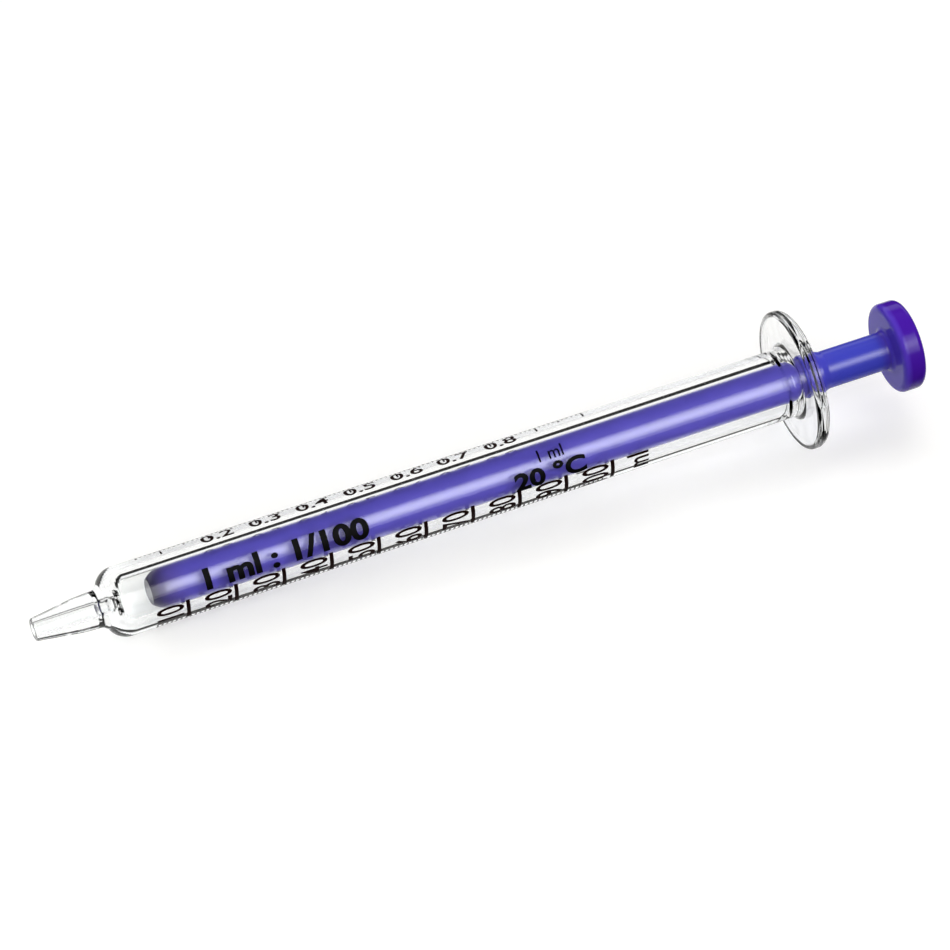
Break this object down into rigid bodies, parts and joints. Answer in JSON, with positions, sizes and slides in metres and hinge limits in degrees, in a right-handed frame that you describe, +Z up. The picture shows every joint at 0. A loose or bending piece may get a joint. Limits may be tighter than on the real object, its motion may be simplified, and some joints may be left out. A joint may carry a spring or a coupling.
{
  "type": "glass syringe",
  "caption": "Small all-glass tuberculin-type syringe: clear graduated barrel with conical nozzle and finger flange, and a ground blue-violet glass plunger with thumb button.",
  "frame": {"origin": "middle of the lying syringe's box, on the surface that it rests on", "axes": "+Z up, +X along the syringe towards the thumb button; the syringe's own axis rises 2.92 degrees from +X, because it lies on its shoulder and on the rim of its finger flange"},
  "size_m": [0.1076, 0.0164, 0.0165],
  "materials": {
    "clear_glass": "clear borosilicate glass, fire-polished outside, ground bore",
    "violet_glass": "blue-violet glass, finely ground rod, fire-polished collar, neck and button"
  },
  "bodies": {
    "barrel": {"barrel": "clear_glass"},
    "plunger": {"plunger": "violet_glass"}
  },
  "joints": [
    {"name": "plunger_slide", "type": "slide", "parent": "barrel", "child": "plunger", "axis": [0.9987, 0, 0.051], "range_m": [-0.00365, 0.0535]}
  ]
}
